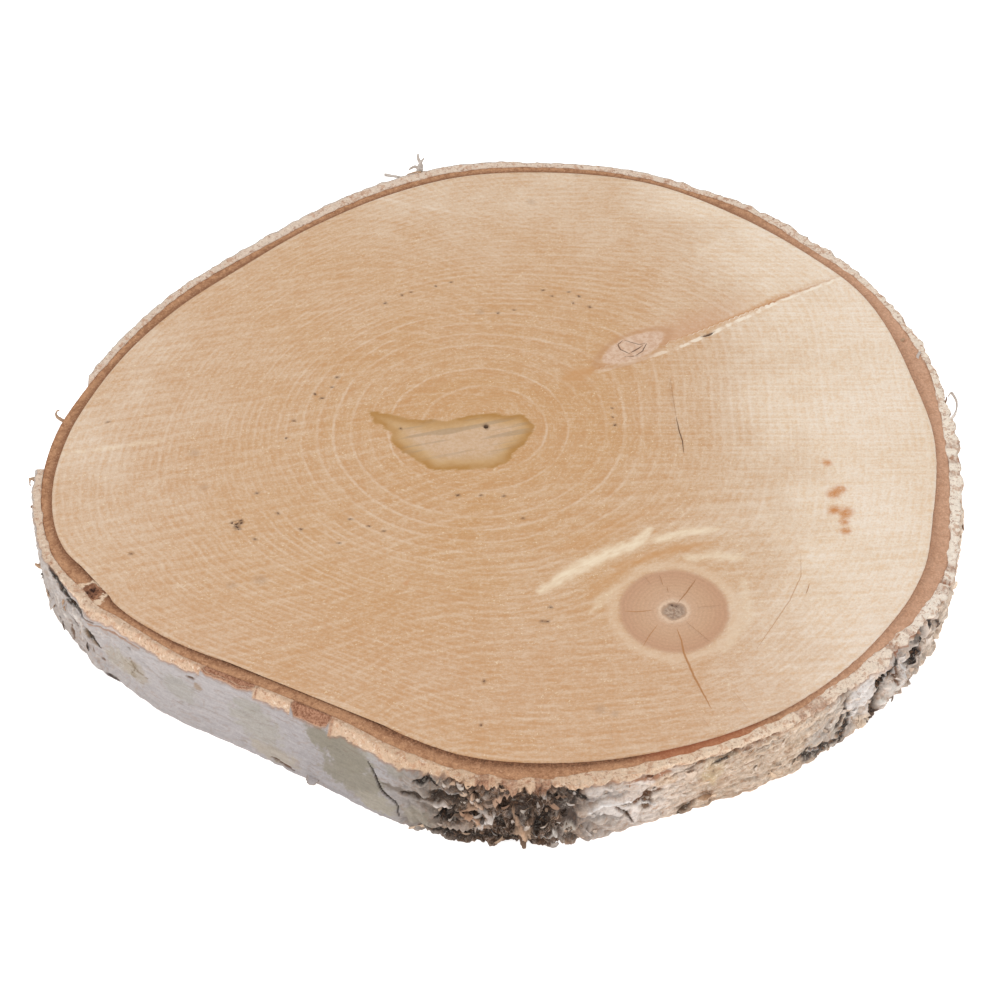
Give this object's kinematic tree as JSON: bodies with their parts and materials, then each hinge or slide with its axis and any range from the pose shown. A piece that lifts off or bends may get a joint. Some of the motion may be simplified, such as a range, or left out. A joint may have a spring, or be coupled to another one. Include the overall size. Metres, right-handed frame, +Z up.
{
  "type": "birch wood slice",
  "caption": "Sawn birch slice with a pale ringed face, brown inner bark and rough white bark, to lie flat as a base, stand or trivet.",
  "frame": {"origin": "under the middle of the slice, on the surface that it lies on", "axes": "+Z up, through the thickness; +X along the longest way across the slice; -Y faces the viewer of the picture"},
  "size_m": [0.3408, 0.3336, 0.0357],
  "materials": {
    "wood": "sawn, bare, matt",
    "inner_bark": "rough, crumbly, matt",
    "outer_bark": "papery white bark with dark fissures, matt"
  },
  "bodies": {
    "root": {"wood": "wood", "inner_bark": "inner_bark", "outer_bark": "outer_bark"}
  },
  "joints": []
}
